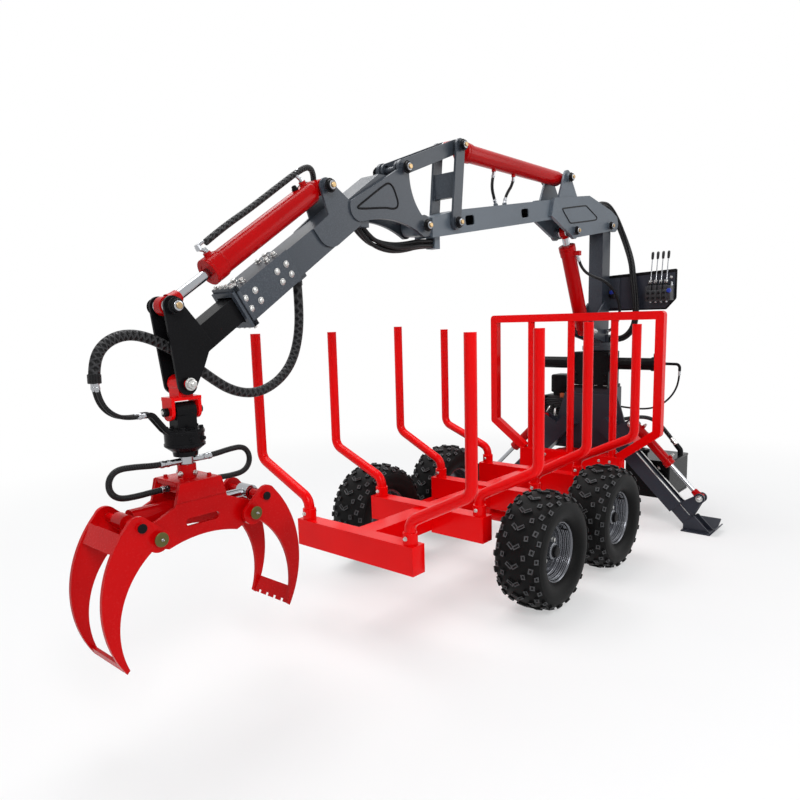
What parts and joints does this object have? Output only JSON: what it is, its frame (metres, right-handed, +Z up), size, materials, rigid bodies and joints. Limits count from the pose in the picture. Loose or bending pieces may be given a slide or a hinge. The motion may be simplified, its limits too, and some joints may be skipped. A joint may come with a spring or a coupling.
{
  "type": "forestry trailer with knuckle-boom crane",
  "caption": "Small forestry trailer with stake bunk, walking-beam axles, stabiliser legs and a knuckle-boom crane with rotator and log grapple.",
  "frame": {"origin": "on the ground under the middle of the whole object's box", "axes": "+X forward to the towing eye, +Y to the left, +Z up"},
  "size_m": [4.5335, 1.756, 2.211],
  "materials": {
    "red_paint": "gloss",
    "grapple_red": "gloss",
    "anthracite_paint": "satin",
    "black_paint": "semi-gloss",
    "engine_casing": "satin",
    "zinc": "zinc plated",
    "chrome": "polished",
    "tyre_rubber": "matte",
    "rim_grey": "satin",
    "hose_black": "woven sleeve"
  },
  "bodies": {
    "trailer": {"chassis_spine": "red_paint", "bolsters": "red_paint", "stakes": "red_paint", "headboard": "red_paint", "bogie_beams": "red_paint", "pedestal": "anthracite_paint", "slew_housing": "black_paint", "slew_cylinder": "black_paint", "stabiliser_tubes": "black_paint", "stabiliser_barrels": "red_paint", "oil_tank": "black_paint", "engine": "engine_casing", "drawbar": "red_paint", "towing_eye": "zinc", "slew_hose": "hose_black", "suction_hose": "hose_black"},
    "stabiliser_left": {"left_leg": "black_paint", "left_leg_rod": "chrome"},
    "stabiliser_right": {"right_leg": "black_paint", "right_leg_rod": "chrome"},
    "mast": {"column": "anthracite_paint", "valve_plate": "anthracite_paint", "control_valve": "black_paint", "column_hoses": "hose_black", "lift_hose": "hose_black"},
    "lift_cylinder": {"lift_barrel": "red_paint"},
    "lift_ram": {"lift_rod": "chrome"},
    "main_boom": {"boom": "anthracite_paint", "dipper_hose_rear": "hose_black", "dipper_hose_front": "hose_black"},
    "push_cylinder": {"dipper_cylinder_barrel": "red_paint"},
    "push_ram": {"dipper_cylinder_rod": "chrome"},
    "rocker_arm": {"rocker": "anthracite_paint"},
    "tie": {"tie_link": "anthracite_paint"},
    "dipper_arm": {"dipper": "anthracite_paint", "extension_barrel": "red_paint", "beam_hoses": "hose_black", "knuckle_hoses": "hose_black"},
    "telescope": {"inner_beam": "black_paint", "extension_rod": "chrome"},
    "hanger": {"swing_link": "red_paint", "rotator_hose_left": "hose_black", "rotator_hose_right": "hose_black"},
    "rotator_body": {"rotator": "black_paint"},
    "grapple": {"grapple_frame": "grapple_red", "grapple_hose_rear": "hose_black", "grapple_hose_front": "hose_black"},
    "claw_rear": {"rear_claw": "grapple_red"},
    "claw_front": {"front_claw": "grapple_red"},
    "grab_cylinder": {"grapple_cylinder_barrel": "red_paint"},
    "grab_ram": {"grapple_cylinder_rod": "chrome"},
    "wheel_left_rear": {"left_rear_tyre": "tyre_rubber", "left_rear_rim": "rim_grey"},
    "wheel_right_rear": {"right_rear_tyre": "tyre_rubber", "right_rear_rim": "rim_grey"},
    "wheel_left_front": {"left_front_tyre": "tyre_rubber", "left_front_rim": "rim_grey"},
    "wheel_right_front": {"right_front_tyre": "tyre_rubber", "right_front_rim": "rim_grey"}
  },
  "joints": [
    {"name": "slew", "type": "hinge", "parent": "trailer", "child": "mast", "pos_m": [1.32, 0, 1.12], "axis": [0, 0, 1], "range_deg": [-170, 170]},
    {"name": "boom_lift", "type": "hinge", "parent": "mast", "child": "main_boom", "pos_m": [1.3, 0, 1.938], "axis": [0, 1, 0], "range_deg": [-5, 55], "deforming": ["column_hoses"]},
    {"name": "lift_cylinder_swing", "type": "hinge", "parent": "mast", "child": "lift_cylinder", "pos_m": [1.09, 0, 1.25], "axis": [0, 1, 0], "range_deg": [-2, 18], "deforming": ["lift_hose"]},
    {"name": "lift_ram_stroke", "type": "slide", "parent": "lift_cylinder", "child": "lift_ram", "axis": [-0.4242, 0, 0.9056], "range_m": [-0.045, 0.41]},
    {"name": "dipper_fold", "type": "hinge", "parent": "main_boom", "child": "dipper_arm", "pos_m": [-0.661, 0, 1.77], "axis": [0, -1, 0], "range_deg": [-8, 13], "deforming": ["knuckle_hoses"]},
    {"name": "rocker_swing", "type": "hinge", "parent": "main_boom", "child": "rocker_arm", "pos_m": [-0.424, 0, 1.805], "axis": [0, -1, 0], "range_deg": [-7, 11]},
    {"name": "tie_swing", "type": "hinge", "parent": "rocker_arm", "child": "tie", "pos_m": [-0.383, 0, 2.161], "axis": [0, -1, 0], "range_deg": [-6, 4]},
    {"name": "push_cylinder_swing", "type": "hinge", "parent": "main_boom", "child": "push_cylinder", "pos_m": [0.715, 0, 2.167], "axis": [0, -1, 0], "range_deg": [-1, 1], "deforming": ["dipper_hose_rear", "dipper_hose_front"]},
    {"name": "push_ram_stroke", "type": "slide", "parent": "push_cylinder", "child": "push_ram", "axis": [-1, 0, -0.0055], "range_m": [-0.045, 0.07]},
    {"name": "extension", "type": "slide", "parent": "dipper_arm", "child": "telescope", "axis": [-0.8335, 0, -0.5525], "range_m": [-0.06, 0.4], "deforming": ["beam_hoses"]},
    {"name": "link_swing", "type": "hinge", "parent": "telescope", "child": "hanger", "pos_m": [-1.897, 0, 1.164], "axis": [0, 1, 0], "range_deg": [-30, 55], "deforming": ["rotator_hose_left", "rotator_hose_right"]},
    {"name": "side_swing", "type": "hinge", "parent": "hanger", "child": "rotator_body", "pos_m": [-1.897, 0, 1.074], "axis": [1, 0, 0], "range_deg": [-35, 35]},
    {"name": "rotator_turn", "type": "hinge", "parent": "rotator_body", "child": "grapple", "pos_m": [-1.897, 0, 0.93], "axis": [0, 0, 1], "continuous": true},
    {"name": "grapple_open", "type": "hinge", "parent": "grapple", "child": "claw_rear", "pos_m": [-2.077, 0, 0.7], "axis": [0, 1, 0], "range_deg": [-38, 35]},
    {"name": "front_claw_open", "type": "hinge", "parent": "grapple", "child": "claw_front", "pos_m": [-1.717, 0, 0.7], "axis": [0, -1, 0], "range_deg": [-39, 36]},
    {"name": "grapple_cylinder_swing", "type": "hinge", "parent": "claw_rear", "child": "grab_cylinder", "pos_m": [-2.132, 0, 0.748], "axis": [0, 1, 0], "range_deg": [-36, 39]},
    {"name": "grapple_ram_stroke", "type": "slide", "parent": "grab_cylinder", "child": "grab_ram", "axis": [1, 0, 0], "range_m": [-0.056, 0.06]},
    {"name": "left_stabiliser", "type": "slide", "parent": "trailer", "child": "stabiliser_left", "axis": [0, -0.7071, 0.7071], "range_m": [0, 0.1]},
    {"name": "right_stabiliser", "type": "slide", "parent": "trailer", "child": "stabiliser_right", "axis": [0, 0.7071, 0.7071], "range_m": [0, 0.1]},
    {"name": "left_rear_wheel", "type": "hinge", "parent": "trailer", "child": "wheel_left_rear", "pos_m": [-0.405, 0.526, 0.2795], "axis": [0, 1, 0], "continuous": true},
    {"name": "right_rear_wheel", "type": "hinge", "parent": "trailer", "child": "wheel_right_rear", "pos_m": [-0.405, -0.526, 0.2795], "axis": [0, 1, 0], "continuous": true},
    {"name": "left_front_wheel", "type": "hinge", "parent": "trailer", "child": "wheel_left_front", "pos_m": [0.259, 0.526, 0.2795], "axis": [0, 1, 0], "continuous": true},
    {"name": "right_front_wheel", "type": "hinge", "parent": "trailer", "child": "wheel_right_front", "pos_m": [0.259, -0.526, 0.2795], "axis": [0, 1, 0], "continuous": true}
  ],
  "couplings": [
    {"joint": "lift_cylinder_swing", "follows": "boom_lift", "ratio": 0.315},
    {"joint": "lift_ram_stroke", "follows": "boom_lift", "m_per_rad": 0.4125},
    {"joint": "rocker_swing", "follows": "dipper_fold", "ratio": 0.82},
    {"joint": "tie_swing", "follows": "dipper_fold", "ratio": -0.41},
    {"joint": "push_cylinder_swing", "follows": "dipper_fold", "ratio": -0.03},
    {"joint": "push_ram_stroke", "follows": "dipper_fold", "m_per_rad": 0.2912},
    {"joint": "front_claw_open", "follows": "grapple_open", "ratio": 1},
    {"joint": "grapple_cylinder_swing", "follows": "grapple_open", "ratio": -1},
    {"joint": "grapple_ram_stroke", "follows": "grapple_open", "m_per_rad": -0.0888}
  ]
}
